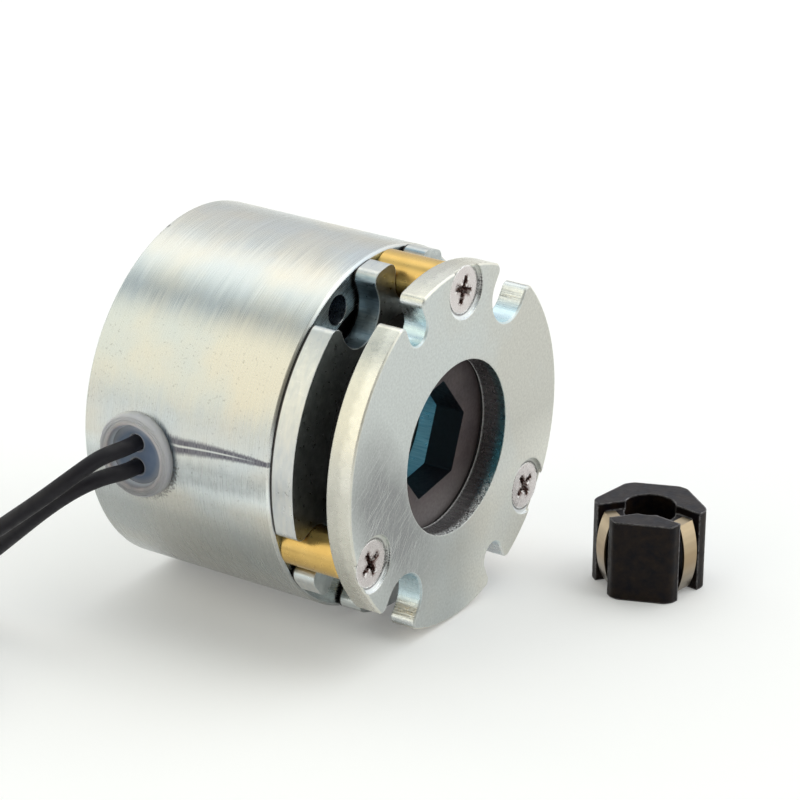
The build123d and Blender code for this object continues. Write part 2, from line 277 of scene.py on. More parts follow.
floor_corners = [(x * floor_reach, y * floor_reach, floor_height)
                 for x, y in ((-1, -1), (1, -1), (1, 1), (-1, 1))]
floor_mesh = bpy.data.meshes.new("floor")
floor_mesh.from_pydata(floor_corners, [], [(0, 1, 2, 3)])
floor = bpy.data.objects.new("floor", floor_mesh)
bpy.context.scene.collection.objects.link(floor)
paper = finish("floor_paper", floor_colour, 0.9)
preset(paper, Emission_Strength=1.0, Specular_IOR_Level=0.1)
paper_fibre = grain(paper, 0.0006, 3)
ray = add(paper, "ShaderNodeLightPath", {}).outputs
seen_or_mirrored = any_of(paper, ray["Is Camera Ray"],
                          any_of(paper, ray["Is Glossy Ray"], ray["Is Transmission Ray"]))
shade(paper,
      Normal=relief(paper, paper_fibre, 0.00001),
      Emission_Color=blend_of(paper, seen_or_mirrored, (0, 0, 0), (floor_lift,) * 3))
floor_mesh.materials.append(paper)

studio = bpy.data.worlds.new("studio")
studio.use_nodes = True
bpy.context.scene.world = studio
# colours of the studio by direction round the brake's axis, in degrees from +Y over the top
studio_colours = [
    (0, (0.76, 0.75, 0.70)),
    (12, (0.74, 0.74, 0.72)),
    (26, (0.81, 0.83, 0.86)),
    (46, (0.86, 0.91, 0.95)),
    (56, (1.00, 1.04, 1.06)),
    (64, (1.42, 1.42, 1.36)),
    (76, (1.54, 1.54, 1.47)),
    (86, (1.34, 1.40, 1.36)),
    (96, (0.86, 0.92, 0.90)),
    (106, (0.46, 0.52, 0.56)),
    (114, (0.96, 1.00, 0.96)),
    (124, (1.36, 1.35, 1.18)),
    (140, (1.32, 1.29, 1.12)),
    (160, (1.30, 1.26, 1.08)),
    (172, (1.16, 1.13, 1.00)),
    (180, (0.98, 0.98, 0.92)),
]
brightest = 2.4
# shares of the right-hand and the left-hand lights: past the brake's front end the
# left one is faint and the others are stronger
behind_shares = (1.0, 1.0)
front_shares = (1.6, 0.2)
front_ends = (-0.28, 0.05)
left_starts_at = 75
left_is_full_after = 30


def studio_ramp(right_share, left_share):
    """The studio's colours round the axis, its two sides brightened or dimmed."""
    made = add(studio, "ShaderNodeValToRGB", {"Fac": turn_share})
    stops = made.color_ramp.elements
    for number, (angle, colour) in enumerate(studio_colours):
        stop = stops[number] if number < 2 else stops.new(angle / 180)
        stop.position = angle / 180
        leftness = min(max((angle - left_starts_at) / left_is_full_after, 0), 1)
        share = right_share + (left_share - right_share) * leftness
        stop.color = tuple(part * share / brightest for part in colour) + (1,)
    return made.outputs["Color"]


toward = add(studio, "ShaderNodeTexCoord", {}).outputs["Generated"]
heading = add(studio, "ShaderNodeSeparateXYZ", {"Vector": toward}).outputs
turn_share = levels(studio, sum_of(studio, "ARCTAN2", heading["Z"], heading["Y"]), 0, pi)
frontness = levels(studio, heading["X"], *front_ends)
studio_light = studio.node_tree.nodes["Background"]
studio_colour = blend_of(studio, frontness,
                         studio_ramp(*behind_shares), studio_ramp(*front_shares))
studio.node_tree.links.new(studio_colour, studio_light.inputs["Color"])
studio_light.inputs["Strength"].default_value = brightest
white = add(studio, "ShaderNodeBackground", {"Color": (1, 1, 1, 1), "Strength": 1.0})
seen = add(studio, "ShaderNodeLightPath", {}).outputs["Is Camera Ray"]
either = add(studio, "ShaderNodeMixShader",
             {"Fac": seen, 1: studio_light.outputs[0], 2: white.outputs[0]})
studio.node_tree.links.new(either.outputs[0],
                           studio.node_tree.nodes["World Output"].inputs["Surface"])


# The housing: a steel pot, turned, brushed round its axis and plated with
# yellowish zinc. Its bore is bluer, its front face duller, and a dark line
# runs from the grommet to the front rim. Shade is painted on it beside the
# grommet and towards the floor.
housing_front = -0.0145
rear_edge_place = -0.0490
rear_edge_radius = 0.0284
housing_rim_radius = 0.0283
housing_bore_reach = 0.0108
grommet_spot = (-0.0387, -0.0285, -0.00045)
bluish_zinc = (0.615, 0.650, 0.650)
yellowish_zinc = (0.690, 0.665, 0.590)
pale_zinc = (0.80, 0.86, 0.87)
low_shade_zinc = (0.36, 0.37, 0.36)
pale_edge_zinc = (0.80, 0.81, 0.78)


def all_of(material, first, *others):
    """The product of some shares: 1 only where all of them are."""
    for share in others:
        first = sum_of(material, "MULTIPLY", first, share)
    return first


def vector_of(material, operation, first, second=(0, 0, 0)):
    """One step of vector arithmetic, giving a vector."""
    made = add(material, "ShaderNodeVectorMath", {0: first, 1: second}, operation=operation)
    return made.outputs["Vector"]


def distance_to(material, where, spot):
    """The distance of a place to a spot, in metres."""
    made = add(material, "ShaderNodeVectorMath", {0: where, 1: spot}, operation="DISTANCE")
    return made.outputs["Value"]


def along(material, where, direction):
    """How far a place lies in this direction, in metres."""
    made = add(material, "ShaderNodeVectorMath", {0: where, 1: direction},
               operation="DOT_PRODUCT")
    return made.outputs["Value"]


def axes_of(material):
    """The three coordinates of the place on the piece, by the names X, Y and Z."""
    return add(material, "ShaderNodeSeparateXYZ", {"Vector": place_in(material)}).outputs


def from_axis(material):
    """The distance from the brake's axis, in metres."""
    sideways = vector_of(material, "MULTIPLY", place_in(material), (0, 1, 1))
    return distance_to(material, sideways, (0, 0, 0))


def toned(material, colour, share):
    """The colour made darker or brighter by this share."""
    made = add(material, "ShaderNodeVectorMath", {0: colour, "Scale": share}, operation="SCALE")
    return made.outputs["Vector"]


def streaks(material, detail, per_metre, ends=(0.3, 0.7)):
    """Noise from 0 to 1 with this many lumps in a metre along each of the three axes."""
    squeezed = vector_of(material, "MULTIPLY", place_in(material), per_metre)
    return levels(material, grain(material, 1.0, detail, squeezed), *ends)


def lathe_marks(material, across, length, detail=2.0):
    """Fine marks round the brake's axis, on the side and on the end faces, from 0 to 1."""
    axes = axes_of(material)
    place = add(material, "ShaderNodeCombineXYZ", {
        "X": sum_of(material, "DIVIDE", axes["X"], across),
        "Y": sum_of(material, "DIVIDE", from_axis(material), across),
        "Z": sum_of(material, "DIVIDE", axes["Y"], length)}).outputs["Vector"]
    made = add(material, "ShaderNodeTexNoise",
               {"Vector": place, "W": sum_of(material, "DIVIDE", axes["Z"], length),
                "Scale": 1.0, "Detail": detail}, noise_dimensions="4D")
    return made.outputs["Fac"]


def end_face(material):
    """1 on faces that look along the brake's axis, 0 on the walls between them."""
    normal = add(material, "ShaderNodeTexCoord", {}).outputs["Normal"]
    squareness = sum_of(material, "ABSOLUTE", along(material, normal, (1, 0, 0)))
    return levels(material, squareness, 0.6, 0.8)


def rounded_edges(material, radius):
    """A normal that rounds the piece's sharp edges off by this radius."""
    return add(material, "ShaderNodeBevel", {"Radius": radius}, samples=4).outputs["Normal"]


def edge_share(material, rounded):
    """1 on the rounded edges and 0 on the faces between them."""
    flat = add(material, "ShaderNodeNewGeometry", {}).outputs["Normal"]
    return levels(material, along(material, rounded, flat), 0.99, 0.88)


def sheared(material, rounded, marks, amount):
    """A normal leant back and forth along the brush lines, which frays a reflection's edges."""
    round_the_axis = add(material, "ShaderNodeTangent", {}, direction_type="RADIAL", axis="X")
    lean = all_of(material, sum_of(material, "SUBTRACT", marks, 0.5), amount)
    leaning = toned(material, round_the_axis.outputs["Tangent"], lean)
    return vector_of(material, "NORMALIZE", vector_of(material, "ADD", rounded, leaning))


def paint(node_name, material):
    """The finish of a piece that keeps its own shape."""
    mesh = nodes[node_name].data
    mesh.materials.clear()
    mesh.materials.append(material)


brushed_zinc = finish("brushed_zinc", (0.66, 0.67, 0.63), 0.28, metallic=1.0)
preset(brushed_zinc, Anisotropic=0.75, Anisotropic_Rotation=0.25)
brush_direction = add(brushed_zinc, "ShaderNodeTangent", {}, direction_type="RADIAL", axis="X")
here = place_in(brushed_zinc)
axes = axes_of(brushed_zinc)
brush = lathe_marks(brushed_zinc, 0.00016, 0.012, 3)
broad_brush = lathe_marks(brushed_zinc, 0.0009, 0.010, 2)
plating = uneven(brushed_zinc, 0.013, 3, ends=(0.38, 0.62))
side_colour = blend_of(brushed_zinc, plating, bluish_zinc, yellowish_zinc)
side_colour = toned(brushed_zinc, side_colour, levels(brushed_zinc, brush, 0.25, 0.75, 0.90, 1.06))
# a paler, bluish patch of plating low on the side, in front of the grommet
below_dark_line = levels(brushed_zinc, axes["Z"], 0.0015, -0.0010)
above_patch_end = levels(brushed_zinc, axes["Z"], -0.0056, -0.0028)
on_far_left = levels(brushed_zinc, axes["Y"], -0.020, -0.024)
pale = all_of(brushed_zinc, below_dark_line, above_patch_end, on_far_left)
side_colour = blend_of(brushed_zinc, all_of(brushed_zinc, pale, 0.75), side_colour, pale_zinc)
# the dark line from the grommet: two dark lines with a bright one between them, bowed a little
dark_line_start = -0.0310
dark_line_half_widths = (0.00034, 0.00108)
dark_line_heights = (0.00363, 0.00270)
dark_line_colour = (0.048, 0.040, 0.070)
rearness = levels(brushed_zinc, axes["X"], housing_front, dark_line_start)
dark_line_width = levels(brushed_zinc, rearness, 0.0, 1.0, *dark_line_half_widths)
bow = all_of(brushed_zinc, rearness, rearness)
dark_line_height = levels(brushed_zinc, bow, 0.0, 1.0, *dark_line_heights)
off_line = sum_of(brushed_zinc, "ABSOLUTE",
                  sum_of(brushed_zinc, "SUBTRACT", axes["Z"], dark_line_height))
across_dark_line = sum_of(brushed_zinc, "DIVIDE", off_line, dark_line_width)
fray = levels(brushed_zinc, brush, 0.3, 0.7, -0.24, 0.24)
dark_line_share = levels(brushed_zinc, sum_of(brushed_zinc, "ADD", across_dark_line, fray), 1.48, 0.86)
dark_line_middle = all_of(brushed_zinc, levels(brushed_zinc, across_dark_line, 0.26, 0.04),
                      levels(brushed_zinc, rearness, 0.12, 0.45))
dark_line_share = sum_of(brushed_zinc, "SUBTRACT", dark_line_share, dark_line_middle)
on_left = levels(brushed_zinc, axes["Y"], -0.020, -0.022)
before_grommet = levels(brushed_zinc, axes["X"], -0.0342, -0.0334)
dark_line_share = all_of(brushed_zinc, dark_line_share, all_of(brushed_zinc, on_left, before_grommet))
dark_line_strength = levels(brushed_zinc, brush, 0.3, 0.7, 0.62, 0.94)
side_colour = blend_of(brushed_zinc, all_of(brushed_zinc, dark_line_share, dark_line_strength),
                       side_colour, dark_line_colour)
# painted shade beside the grommet: blue-grey close to its right edge, speckled below that
blue_grey_shade = (0.16, 0.20, 0.235)
speckled_shade = (0.15, 0.14, 0.135)
from_grommet = distance_to(brushed_zinc, vector_of(brushed_zinc, "MULTIPLY", here, (1, 0, 1)),
                           (grommet_spot[0], 0, grommet_spot[2]))
beside = vector_of(brushed_zinc, "SUBTRACT", here, grommet_spot)
to_the_right = along(brushed_zinc, beside, (0.96, 0, 0.28))
to_lower_right = along(brushed_zinc, beside, (0.60, 0, -0.80))
close_by = all_of(brushed_zinc, levels(brushed_zinc, from_grommet, 0.0076, 0.0069),
                  levels(brushed_zinc, to_the_right, 0.0035, 0.0060))
close_by = all_of(brushed_zinc, close_by, on_left, 0.85)
side_colour = blend_of(brushed_zinc, close_by, side_colour, blue_grey_shade)
grommet_shade = all_of(brushed_zinc, levels(brushed_zinc, from_grommet, 0.0080, 0.0067),
               levels(brushed_zinc, to_lower_right, 0.0010, 0.0055))
grommet_shade = sum_of(brushed_zinc, "ADD", grommet_shade, uneven(brushed_zinc, 0.0004, 3, -0.9, 0.2))
grommet_shade = all_of(brushed_zinc, levels(brushed_zinc, grommet_shade, 0.0, 0.5), on_left)
side_colour = blend_of(brushed_zinc, all_of(brushed_zinc, grommet_shade, 0.75),
                       side_colour, speckled_shade)
# painted shade: the plating darker towards the floor
low_shade = levels(brushed_zinc, axes["Z"], -0.0035, -0.0100, 0.0, 0.70)
side_colour = blend_of(brushed_zinc, low_shade, side_colour, low_shade_zinc)
# front face, bore and the two bolt holes
ends = end_face(brushed_zinc)
inside = levels(brushed_zinc, from_axis(brushed_zinc),
                housing_rim_radius, housing_rim_radius - 0.0003)
at_front = levels(brushed_zinc, axes["X"], housing_front - 0.0004, housing_front - 0.0002)
front_share = all_of(brushed_zinc, inside, all_of(brushed_zinc, ends, at_front))
front_colour = blend_of(brushed_zinc, grain(brushed_zinc, 0.003, 3),
                        (0.34, 0.40, 0.42), (0.58, 0.62, 0.62))
side_colour = blend_of(brushed_zinc, front_share, side_colour, front_colour)
holes = all_of(brushed_zinc, inside, levels(brushed_zinc, ends, 1.0, 0.0))
side_colour = blend_of(brushed_zinc, holes, side_colour, (0.30, 0.36, 0.44))
in_bore = levels(brushed_zinc, from_axis(brushed_zinc),
                 housing_bore_reach, housing_bore_reach - 0.0002)
bore_marks = streaks(brushed_zinc, 3, (1500, 300, 5000))
bore_colour = blend_of(brushed_zinc, bore_marks, (0.42, 0.72, 0.80), (0.62, 0.88, 0.95))
side_colour = blend_of(brushed_zinc, in_bore, side_colour, bore_colour)
# paler edges, and two dark nicks in the rear one
zinc_rounding = rounded_edges(brushed_zinc, 0.00025)
zinc_edges = edge_share(brushed_zinc, zinc_rounding)
side_colour = blend_of(brushed_zinc, all_of(brushed_zinc, zinc_edges, 0.6),
                       side_colour, pale_edge_zinc)
for angle, size in ((104.5, 0.00070), (108.5, 0.00045)):
    spot = (rear_edge_place, rear_edge_radius * cos(radians(angle)),
            rear_edge_radius * sin(radians(angle)))
    nick = levels(brushed_zinc, distance_to(brushed_zinc, here, spot), size, size * 0.6, 0.0, 0.9)
    side_colour = blend_of(brushed_zinc, nick, side_colour, (0.05, 0.04, 0.05))
brushed_normal = sheared(brushed_zinc, zinc_rounding, broad_brush, 0.08)
brushed_normal = sheared(brushed_zinc, brushed_normal, brush, 0.09)
shade(brushed_zinc,
      Base_Color=side_colour,
      Roughness=levels(brushed_zinc, brush, 0.3, 0.7, 0.22, 0.34),
      Tangent=brush_direction.outputs["Tangent"],
      Normal=relief(brushed_zinc, brush, 0.000010, brushed_normal))
paint("stator_housing", brushed_zinc)


# The outer plate: stamped steel with the same plating. Its face is duller and
# finely scratched, its rim brighter and mottled, its notches sheared across.
screw_circle = 0.0248
screw_angles = (85.6, -34.4, -154.4)
screw_spots = [(0, screw_circle * cos(radians(angle)), screw_circle * sin(radians(angle)))
               for angle in screw_angles]
plate_rim_radius = 0.0280
plate_bore_reach = 0.0142
notch_floor_radius = 0.0236
notch_mouth_radius = 0.0252
worn_and_shaded_metal = (0.222, 0.226, 0.230)


def near_screws(material, reach):
    """1 within this distance of a plate screw's axis, 0 further off."""
    sideways = vector_of(material, "MULTIPLY", place_in(material), (0, 1, 1))
    nearest = 1.0
    for spot in screw_spots:
        nearest = sum_of(material, "MINIMUM", distance_to(material, sideways, spot), nearest)
    return levels(material, nearest, reach, reach - 0.0003)


def scratches(material, angle, spacing, length):
    """Sparse straight scratches on an end face, running at this angle, from 0 to 1."""
    turn = radians(angle)
    here = place_in(material)
    place = add(material, "ShaderNodeCombineXYZ", {
        "X": sum_of(material, "DIVIDE", along(material, here, (0, cos(turn), sin(turn))), length),
        "Y": sum_of(material, "DIVIDE", along(material, here, (0, -sin(turn), cos(turn))),
                    spacing)})
    made = add(material, "ShaderNodeTexNoise",
               {"Vector": place.outputs["Vector"], "Scale": 1.0, "Detail": 2.0,
                "Roughness": 0.6})
    return levels(material, made.outputs["Fac"], 0.62, 0.70)


plate_zinc = finish("plate_zinc", (0.56, 0.59, 0.55), 0.42, metallic=1.0)
here = place_in(plate_zinc)
axes = axes_of(plate_zinc)
radius = from_axis(plate_zinc)
cloud = grain(plate_zinc, 0.011, 3)
# face: greener at the left and more tan at the right, with painted light at the lower
# right and painted shade at the bottom
drift = sum_of(plate_zinc, "ADD", axes["Y"], levels(plate_zinc, cloud, 0.3, 0.7, -0.012, 0.012))
tan_share = levels(plate_zinc, drift, -0.008, 0.018)
face_colour = blend_of(plate_zinc, tan_share, (0.595, 0.625, 0.610), (0.592, 0.588, 0.540))
low_right = all_of(plate_zinc, levels(plate_zinc, axes["Y"], 0.001, 0.010),
                   levels(plate_zinc, axes["Z"], -0.002, -0.010))
bottom = all_of(plate_zinc, levels(plate_zinc, axes["Y"], 0.007, -0.002),
                levels(plate_zinc, axes["Z"], -0.009, -0.017))
face_tone = sum_of(plate_zinc, "ADD", levels(plate_zinc, low_right, 0, 1, 1.0, 1.34),
                   levels(plate_zinc, bottom, 0, 1, 0.0, -0.20))
face_colour = toned(plate_zinc, face_colour, face_tone)
# a worn and scratched patch left of the bore, longest towards the lower notch; its
# dark tone is partly painted shade
patch_across = (0, 0.824, 0.567)
patch_down = (0, 0.567, -0.824)
patch_from_axis = 0.0178
patch_rise = 0.0086
off_patch = sum_of(plate_zinc, "ABSOLUTE",
                   sum_of(plate_zinc, "ADD", along(plate_zinc, here, patch_across),
                          patch_from_axis))
off_patch = sum_of(plate_zinc, "ADD", off_patch,
                   levels(plate_zinc, cloud, 0.3, 0.7, -0.0015, 0.0015))
down = sum_of(plate_zinc, "ADD", along(plate_zinc, here, patch_down), patch_rise)
worn_and_shaded = all_of(plate_zinc, levels(plate_zinc, down, -0.018, -0.005),
              levels(plate_zinc, down, 0.024, 0.009),
              levels(plate_zinc, off_patch, 0.0085, 0.0028))
face_colour = blend_of(plate_zinc, all_of(plate_zinc, worn_and_shaded, 0.80), face_colour, worn_and_shaded_metal)
scored = 0.0
for angle, spacing, length in ((47, 0.00010, 0.016), (58, 0.00012, 0.013),
                               (34, 0.00013, 0.012), (79, 0.00012, 0.010)):
    scored = any_of(plate_zinc, scored, scratches(plate_zinc, angle, spacing, length))
scored = all_of(plate_zinc, scored, levels(plate_zinc, worn_and_shaded, 0.0, 1.0, 0.06, 0.85))
dark_scored = all_of(plate_zinc, scratches(plate_zinc, 52, 0.00011, 0.014),
                     levels(plate_zinc, worn_and_shaded, 0.0, 1.0, 0.04, 0.65))
face_colour = blend_of(plate_zinc, dark_scored, face_colour, (0.12, 0.12, 0.13))
face_colour = blend_of(plate_zinc, scored, face_colour, (0.78, 0.79, 0.78))
face_colour = toned(plate_zinc, face_colour, uneven(plate_zinc, 0.0004, 3, 0.90, 1.08))
# rim: two tones, the part next to the front edge brighter and its border ragged
brushed_rim = levels(plate_zinc, lathe_marks(plate_zinc, 0.0005, 0.003, 3), 0.3, 0.7)
rim_colour = blend_of(plate_zinc, brushed_rim, (0.625, 0.615, 0.55), (0.67, 0.655, 0.585))
bright_rim = blend_of(plate_zinc, levels(plate_zinc, cloud, 0.35, 0.65),
                      (0.73, 0.715, 0.63), (0.82, 0.80, 0.725))
front_band = sum_of(plate_zinc, "ADD", axes["X"], uneven(plate_zinc, 0.0014, 4, -0.0006, 0.0006))
front_band = levels(plate_zinc, front_band, -0.0025, -0.0015)
rim_colour = blend_of(plate_zinc, front_band, rim_colour, bright_rim)
# painted shade: the rim darker low down
rim_colour = toned(plate_zinc, rim_colour, levels(plate_zinc, axes["Z"], 0.002, 0.009, 0.86, 1.0))
on_rim = levels(plate_zinc, radius, plate_rim_radius, plate_rim_radius + 0.0002)
face_colour = blend_of(plate_zinc, on_rim, face_colour, rim_colour)
# walls of the notches: sheared across, pale blue at their floors
walls = levels(plate_zinc, end_face(plate_zinc), 1.0, 0.0)
within = levels(plate_zinc, radius, plate_rim_radius, plate_rim_radius - 0.0002)
inner_walls = all_of(plate_zinc, walls, within)
shear = streaks(plate_zinc, 3, (250, 4200, 4200))
rough_wall = blend_of(plate_zinc, shear, (0.58, 0.62, 0.64), (0.88, 0.90, 0.88))
smooth_wall = blend_of(plate_zinc, shear, (0.55, 0.70, 0.76), (0.66, 0.80, 0.86))
outward = levels(plate_zinc, radius, notch_floor_radius, notch_mouth_radius)
wall_colour = blend_of(plate_zinc, outward, smooth_wall, rough_wall)
face_colour = blend_of(plate_zinc, inner_walls, face_colour, wall_colour)
# pockets of the screw heads: ribbed, with painted shade at mid-height, a painted
# highlight at the bottom and painted shade in the gap round the head
pocket_shade = (0.05, 0.045, 0.05)
pocket_highlight = (0.93, 0.95, 0.96)
gap_shade = (0.05, 0.045, 0.045)
head_reach = 0.0041
pocket_reach = 0.0048
just_outside_pocket = (0.0052, 0.0050)
height_in_pocket = 0.0
for spot in screw_spots:
    beside = vector_of(plate_zinc, "SUBTRACT",
                       vector_of(plate_zinc, "MULTIPLY", here, (0, 1, 1)), spot)
    near = levels(plate_zinc, distance_to(plate_zinc, beside, (0, 0, 0)), *just_outside_pocket)
    height_in_pocket = sum_of(plate_zinc, "ADD", height_in_pocket,
                              all_of(plate_zinc, near, along(plate_zinc, beside, (0, 0, 1))))
ribs = streaks(plate_zinc, 2, (300, 2600, 5200), ends=(0.44, 0.52))
pocket_colour = blend_of(plate_zinc, ribs, pocket_shade, (0.55, 0.55, 0.54))
pocket_colour = blend_of(plate_zinc, levels(plate_zinc, height_in_pocket, 0.0004, 0.0016),
                         pocket_colour, (0.62, 0.63, 0.59))
pocket_colour = blend_of(plate_zinc, levels(plate_zinc, height_in_pocket, -0.0016, -0.0026),
                         pocket_colour, pocket_highlight)
pocket_colour = blend_of(plate_zinc, near_screws(plate_zinc, head_reach), pocket_colour, gap_shade)
sunk = any_of(plate_zinc, walls, levels(plate_zinc, axes["X"], -0.0002, -0.0004))
in_pocket = all_of(plate_zinc, sunk, within, near_screws(plate_zinc, pocket_reach))
face_colour = blend_of(plate_zinc, in_pocket, face_colour, pocket_colour)
# bore: dark, blue-green along its front, with silver flecks at the bottom and a
# bright line at its rear
fleck_silver = (0.95, 0.97, 0.97)
line_silver = (0.95, 0.96, 0.97)
in_bore = all_of(plate_zinc, walls,
                 levels(plate_zinc, radius, plate_bore_reach, plate_bore_reach - 0.0002))
bore_colour = blend_of(plate_zinc, shear, (0.24, 0.25, 0.26), (0.42, 0.43, 0.44))
blue_green = all_of(plate_zinc, levels(plate_zinc, axes["X"], -0.0017, -0.0008),
                    levels(plate_zinc, axes["Y"], 0.007, 0.0095), 0.65)
bore_colour = blend_of(plate_zinc, blue_green, bore_colour, (0.22, 0.46, 0.48))
flecks = all_of(plate_zinc, uneven(plate_zinc, 0.00022, 3, ends=(0.46, 0.54)),
                levels(plate_zinc, axes["Z"], -0.0075, -0.0105),
                levels(plate_zinc, axes["X"], -0.0016, -0.0007))
bore_colour = blend_of(plate_zinc, flecks, bore_colour, fleck_silver)
rear_line = levels(plate_zinc, axes["X"], -0.00388, -0.0041)
bore_colour = blend_of(plate_zinc, rear_line, bore_colour, line_silver)
face_colour = blend_of(plate_zinc, in_bore, face_colour, bore_colour)
# paler edges, ragged
plate_rounding = rounded_edges(plate_zinc, 0.0003)
plate_edges = edge_share(plate_zinc, plate_rounding)
ragged = uneven(plate_zinc, 0.0007, 3, 0.15, 0.85, ends=(0.35, 0.65))
face_colour = blend_of(plate_zinc, all_of(plate_zinc, plate_edges, ragged),
                       face_colour, (0.84, 0.84, 0.80))
bare_metal = levels(plate_zinc, any_of(plate_zinc, walls, on_rim), 0.0, 1.0, 0.45, 1.0)
torn = all_of(plate_zinc, any_of(plate_zinc, flecks, rear_line), in_bore)
bare_metal = sum_of(plate_zinc, "SUBTRACT", bare_metal, all_of(plate_zinc, torn, 0.9))
sheared_relief = relief(plate_zinc, all_of(plate_zinc, shear, inner_walls),
                        0.000012, plate_rounding)
shade(plate_zinc,
      Base_Color=face_colour,
      Metallic=bare_metal,
      Roughness=sum_of(plate_zinc, "ADD", levels(plate_zinc, walls, 0.0, 1.0, 0.50, 0.27),
                       uneven(plate_zinc, 0.0007, 3, -0.05, 0.08)),
      Normal=relief(plate_zinc, grain(plate_zinc, 0.0005, 4), 0.000016, sheared_relief))
paint("outer_plate", plate_zinc)


# The armature plate: thicker plated steel. Its rim is bright; its face is
# dark, and the walls of its notches have painted shade, painted light low
# down and a painted reflection of the brass sleeves near the screws. Bright
# lines run along their edges, and painted shade along the rear edge, in the
# gap next to the housing.
armature_rim_radius = 0.0282
armature_rear = -0.0142
guide_reach = 0.0050
rear_gap_shade = (0.045, 0.040, 0.038)
armature_zinc = finish("armature_zinc", (0.70, 0.71, 0.69), 0.34, metallic=1.0)
here = place_in(armature_zinc)
armature_brush = levels(armature_zinc, lathe_marks(armature_zinc, 0.0006, 0.0025, 3), 0.3, 0.7)
rim_colour = blend_of(armature_zinc, armature_brush, (0.57, 0.595, 0.60), (0.69, 0.69, 0.655))
wall_marks = streaks(armature_zinc, 3, (300, 3500, 3500))
# painted shade on the notch walls, painted light on them low down, and a brownish painted
# reflection of the brass sleeves on the walls near the screws
dark_wall = blend_of(armature_zinc, wall_marks, (0.24, 0.32, 0.38), (0.38, 0.46, 0.51))
low_wall = blend_of(armature_zinc, wall_marks, (0.72, 0.77, 0.77), (0.88, 0.91, 0.90))
guide_wall = blend_of(armature_zinc, wall_marks, (0.28, 0.27, 0.25), (0.42, 0.41, 0.38))
low_down = levels(armature_zinc, along(armature_zinc, here, (0, 0, 1)), -0.012, -0.018)
dark_wall = blend_of(armature_zinc, low_down, dark_wall, low_wall)
inner_colour = blend_of(armature_zinc, near_screws(armature_zinc, guide_reach),
                        dark_wall, guide_wall)
ends = end_face(armature_zinc)
armature_face = blend_of(armature_zinc, uneven(armature_zinc, 0.0012, 4),
                         (0.40, 0.43, 0.43), (0.54, 0.57, 0.56))
inner_colour = blend_of(armature_zinc, ends, inner_colour, armature_face)
on_rim = all_of(armature_zinc,
                levels(armature_zinc, from_axis(armature_zinc),
                       armature_rim_radius - 0.0003, armature_rim_radius),
                levels(armature_zinc, ends, 1.0, 0.0))
armature_colour = blend_of(armature_zinc, on_rim, inner_colour, rim_colour)
armature_rounding = rounded_edges(armature_zinc, 0.00022)
armature_edges = edge_share(armature_zinc, armature_rounding)
armature_colour = blend_of(armature_zinc, all_of(armature_zinc, armature_edges, 0.7),
                           armature_colour, (0.72, 0.75, 0.76))
# painted shade: a dark band along the rear edge, in the gap next to the housing
rear_edge = levels(armature_zinc, along(armature_zinc, here, (1, 0, 0)),
                   armature_rear + 0.00030, armature_rear + 0.00018)
armature_colour = blend_of(armature_zinc, rear_edge, armature_colour, rear_gap_shade)
shade(armature_zinc,
      Base_Color=armature_colour,
      Metallic=levels(armature_zinc, armature_edges, 0.0, 1.0, 1.0, 0.4),
      Roughness=uneven(armature_zinc, 0.0008, 3, 0.26, 0.42),
      Normal=relief(armature_zinc, grain(armature_zinc, 0.0006, 4), 0.00002, armature_rounding))
paint("armature_plate", armature_zinc)


# The spacer sleeves: drawn brass tube, satin, faced and chamfered at both ends.
# Fine dark lines from the drawing run along them.
deep_brass = (0.62, 0.40, 0.115)
pale_brass = (0.80, 0.55, 0.20)
drawn_dark = (0.34, 0.20, 0.05)
brass = finish("satin_brass", (0.72, 0.46, 0.15), 0.30, metallic=1.0)
drawn = streaks(brass, 3, (60, 1400, 1400))
brass_colour = blend_of(brass, grain(brass, 0.003, 3), deep_brass, pale_brass)
shade(brass,
      Base_Color=blend_of(brass, levels(brass, drawn, 0.0, 1.0, 0.12, 0.0),
                          brass_colour, drawn_dark),
      Roughness=uneven(brass, 0.0008, 3, 0.26, 0.33),
      Normal=relief(brass, drawn, 0.000005, rounded_edges(brass, 0.0002)))
for number in (1, 2, 3):
    paint("spacer_sleeve_" + str(number), brass)


# The screws: countersunk heads with a cross recess, bright zinc with a warm
# cast. The recess is painted dark brown inside and round its edges as shade,
# with painted glints, and the heads' edges have a painted highlight.
screw_face = -0.0005
recess_reach = 0.0027
recess_shade_brown = (0.16, 0.10, 0.09)
recess_glint = (0.95, 0.93, 0.92)
screw_zinc = finish("screw_zinc", (0.64, 0.60, 0.59), 0.24, metallic=1.0)
axes = axes_of(screw_zinc)
in_recess = levels(screw_zinc, axes["X"], screw_face - 0.00002, screw_face - 0.00012)
over_recess = near_screws(screw_zinc, recess_reach)
head_colour = blend_of(screw_zinc, grain(screw_zinc, 0.0010, 3),
                       (0.58, 0.53, 0.52), (0.68, 0.65, 0.64))
flecks = uneven(screw_zinc, 0.0006, 2, ends=(0.53, 0.60))
# painted shade: the recess dark brown, with painted glints
recess_colour = blend_of(screw_zinc, flecks, recess_shade_brown, recess_glint)
head_colour = blend_of(screw_zinc, all_of(screw_zinc, in_recess, 0.9), head_colour, recess_colour)
screw_rounding = rounded_edges(screw_zinc, 0.00030)
screw_edges = edge_share(screw_zinc, screw_rounding)
recess_edges = edge_share(screw_zinc, rounded_edges(screw_zinc, 0.0011))
off_recess = all_of(screw_zinc, sum_of(screw_zinc, "SUBTRACT", 1.0, over_recess), 0.8)
# painted highlight along the heads' edges
head_colour = blend_of(screw_zinc, all_of(screw_zinc, screw_edges, off_recess),
                       head_colour, (0.95, 0.94, 0.92))
# painted shade: the recess's colour spread round its edges too
head_colour = blend_of(screw_zinc, all_of(screw_zinc, recess_edges, over_recess),
                       head_colour, recess_colour)
shade(screw_zinc,
      Base_Color=head_colour,
      Roughness=uneven(screw_zinc, 0.0006, 3, 0.20, 0.34),
      Normal=relief(screw_zinc, grain(screw_zinc, 0.0010, 2), 0.00001, screw_rounding))
paint("plate_screws", screw_zinc)


